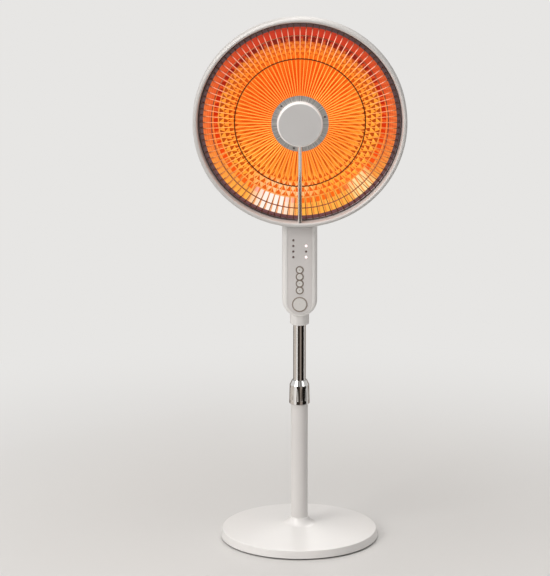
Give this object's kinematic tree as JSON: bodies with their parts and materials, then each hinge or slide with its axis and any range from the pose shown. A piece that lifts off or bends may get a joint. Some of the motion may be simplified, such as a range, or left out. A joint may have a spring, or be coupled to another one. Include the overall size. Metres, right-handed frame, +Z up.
{
  "type": "carbon heater",
  "caption": "Free-standing carbon heater: round weighted base, telescopic mast, swinging control unit and a tilting dish head with faceted reflector behind a radial wire guard.",
  "frame": {"origin": "on the floor under the middle of the base", "axes": "+Z up along the mast, front of the heater towards -Y, +X to the right seen from the front"},
  "size_m": [0.4, 0.299, 1.027],
  "materials": {
    "white_plastic": "satin moulded",
    "white_paint": "satin powder coat",
    "fascia": "smooth",
    "trim": "satin",
    "button_plastic": "satin",
    "chrome_plate": "polished",
    "polished_aluminium": "mirror polished",
    "brushed_aluminium": "radially brushed",
    "cap_plastic": "satin",
    "rubber_black": "matt",
    "iron": "as cast",
    "zinc_steel": "zinc plated",
    "nylon": "natural",
    "black_plastic": "smooth",
    "board": "solder mask",
    "lens_lit": "clear, lit",
    "lens_dark": "smoked",
    "led_epoxy": "clear",
    "ceramic_body": "matt",
    "quartz": "clear",
    "carbon": "glowing carbon"
  },
  "bodies": {
    "stand": {"base_cover": "white_plastic", "ballast_disc": "iron", "rubber_feet": "rubber_black", "base_bolt": "zinc_steel", "base_washer": "zinc_steel", "outer_tube": "white_paint", "tube_foot": "zinc_steel", "split_bush": "nylon"},
    "collar": {"lock_collar": "chrome_plate"},
    "mast": {"inner_tube": "chrome_plate", "tube_guide": "nylon", "neck_sleeve": "white_plastic", "neck_screw": "zinc_steel", "swivel_washer": "nylon", "swing_gear": "nylon"},
    "control_unit": {"housing_front": "white_plastic", "housing_rear": "white_plastic", "housing_screws": "zinc_steel", "cord_gland": "rubber_black", "control_panel": "fascia", "button_trim": "trim", "power_trim": "trim", "indicator_lenses_lit": "lens_lit", "indicator_lenses_dark": "lens_dark", "indicator_leds": "led_epoxy", "circuit_board": "board", "tact_switches": "black_plastic", "power_relays": "black_plastic", "tip_over_switch": "black_plastic", "swing_motor": "zinc_steel", "tilt_bolt": "zinc_steel", "tilt_nut": "zinc_steel", "tilt_washers": "nylon"},
    "head": {"front_ring": "white_plastic", "front_guard": "chrome_plate", "reflector_band": "polished_aluminium", "reflector_dish": "polished_aluminium", "rear_shell": "white_plastic", "tilt_knuckle": "white_plastic", "hub_plate": "brushed_aluminium", "hub_cap": "cap_plastic", "lamp_carrier": "ceramic_body", "lamp_tube": "quartz", "carbon_filament": "carbon", "lamp_end_caps": "ceramic_body", "lamp_clips": "zinc_steel", "lamp_stalk": "chrome_plate"},
    "pinion": {"swing_pinion": "nylon"},
    "heat_button_body": {"heat_button": "button_plastic"},
    "timer_button_body": {"timer_button": "button_plastic"},
    "swing_button_body": {"swing_button": "button_plastic"},
    "mode_button_body": {"mode_button": "button_plastic"},
    "power_button_body": {"power_button": "button_plastic"}
  },
  "joints": [
    {"name": "collar_turn", "type": "hinge", "parent": "stand", "child": "collar", "pos_m": [0, 0, 0.28], "axis": [0, 0, 1], "range_deg": [0, 180]},
    {"name": "height_slide", "type": "slide", "parent": "stand", "child": "mast", "axis": [0, 0, 1], "range_m": [-0.105, 0.105]},
    {"name": "swing", "type": "hinge", "parent": "mast", "child": "control_unit", "pos_m": [0, 0, 0.45], "axis": [0, 0, 1], "range_deg": [-35, 35]},
    {"name": "pinion_spin", "type": "hinge", "parent": "control_unit", "child": "pinion", "pos_m": [0.0169, 0, 0.4615], "axis": [0, 0, 1], "range_deg": [-72, 72]},
    {"name": "head_tilt", "type": "hinge", "parent": "control_unit", "child": "head", "pos_m": [0, 0.011, 0.64], "axis": [-1, 0, 0], "range_deg": [-10, 20]},
    {"name": "heat_button_press", "type": "slide", "parent": "control_unit", "child": "heat_button_body", "axis": [0, 1, 0], "range_m": [0, 0.0012], "stiffness_N_per_m": 800},
    {"name": "timer_button_press", "type": "slide", "parent": "control_unit", "child": "timer_button_body", "axis": [0, 1, 0], "range_m": [0, 0.0012], "stiffness_N_per_m": 800},
    {"name": "swing_button_press", "type": "slide", "parent": "control_unit", "child": "swing_button_body", "axis": [0, 1, 0], "range_m": [0, 0.0012], "stiffness_N_per_m": 800},
    {"name": "mode_button_press", "type": "slide", "parent": "control_unit", "child": "mode_button_body", "axis": [0, 1, 0], "range_m": [0, 0.0012], "stiffness_N_per_m": 800},
    {"name": "power_button_press", "type": "slide", "parent": "control_unit", "child": "power_button_body", "axis": [0, 1, 0], "range_m": [0, 0.0012], "stiffness_N_per_m": 800}
  ],
  "couplings": [
    {"joint": "pinion_spin", "follows": "swing", "ratio": 2}
  ]
}
